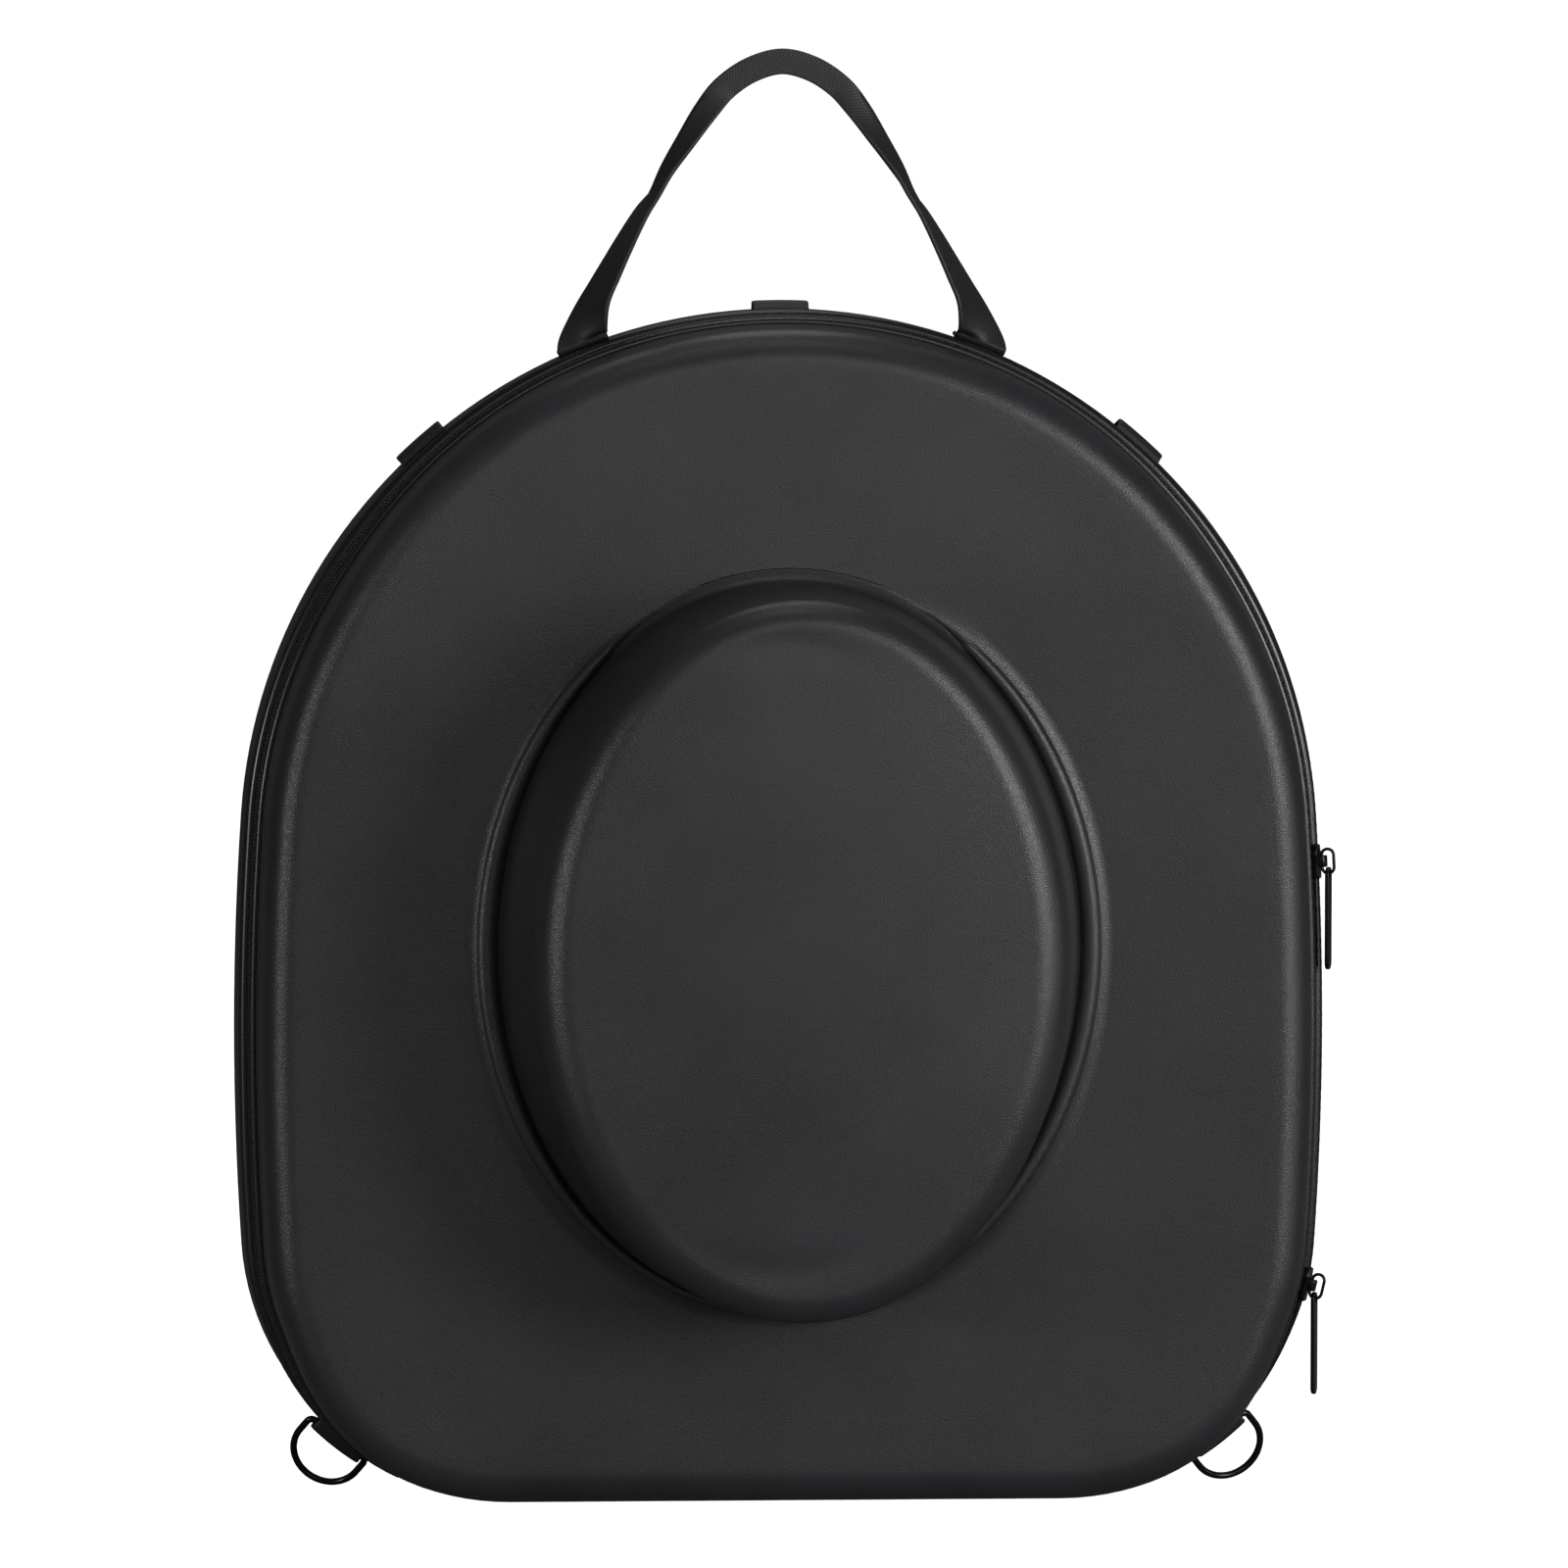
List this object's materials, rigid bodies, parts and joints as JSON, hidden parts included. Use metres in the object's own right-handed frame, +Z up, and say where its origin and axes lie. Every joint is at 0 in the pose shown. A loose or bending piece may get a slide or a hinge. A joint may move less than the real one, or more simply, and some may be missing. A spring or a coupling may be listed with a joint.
{
  "type": "hat travel case",
  "caption": "Hard hat travel case with a domed front shell, a zip round its rim, a webbing carry handle and D-rings at the lower corners.",
  "frame": {"origin": "middle of the flat bottom, on the hinge strip midway between the two shells", "axes": "+Z up towards the carry handle, -Y towards the viewer out of the dome, +X to the viewer's right, the side with the zip pulls"},
  "size_m": [0.4369, 0.173, 0.574],
  "materials": {
    "shell_leather": "matte, fine grain",
    "binding_leather": "satin, rolled edge",
    "tape_fabric": "woven, matte",
    "coil_plastic": "satin",
    "webbing": "ribbed webbing, matte",
    "black_metal": "gloss black"
  },
  "bodies": {
    "root": {"front_shell": "shell_leather", "back_shell": "shell_leather", "front_binding": "binding_leather", "back_binding": "binding_leather", "zip_tape": "tape_fabric", "zip_coil": "coil_plastic", "hinge_strip": "tape_fabric", "upper_slider": "black_metal", "upper_bail": "black_metal", "upper_pull": "black_metal", "lower_slider": "black_metal", "lower_bail": "black_metal", "lower_pull": "black_metal", "carry_handle": "webbing", "top_tab": "webbing", "left_tab": "webbing", "right_tab": "webbing", "left_ring_tab": "webbing", "right_ring_tab": "webbing", "left_ring": "black_metal", "right_ring": "black_metal"}
  },
  "joints": []
}
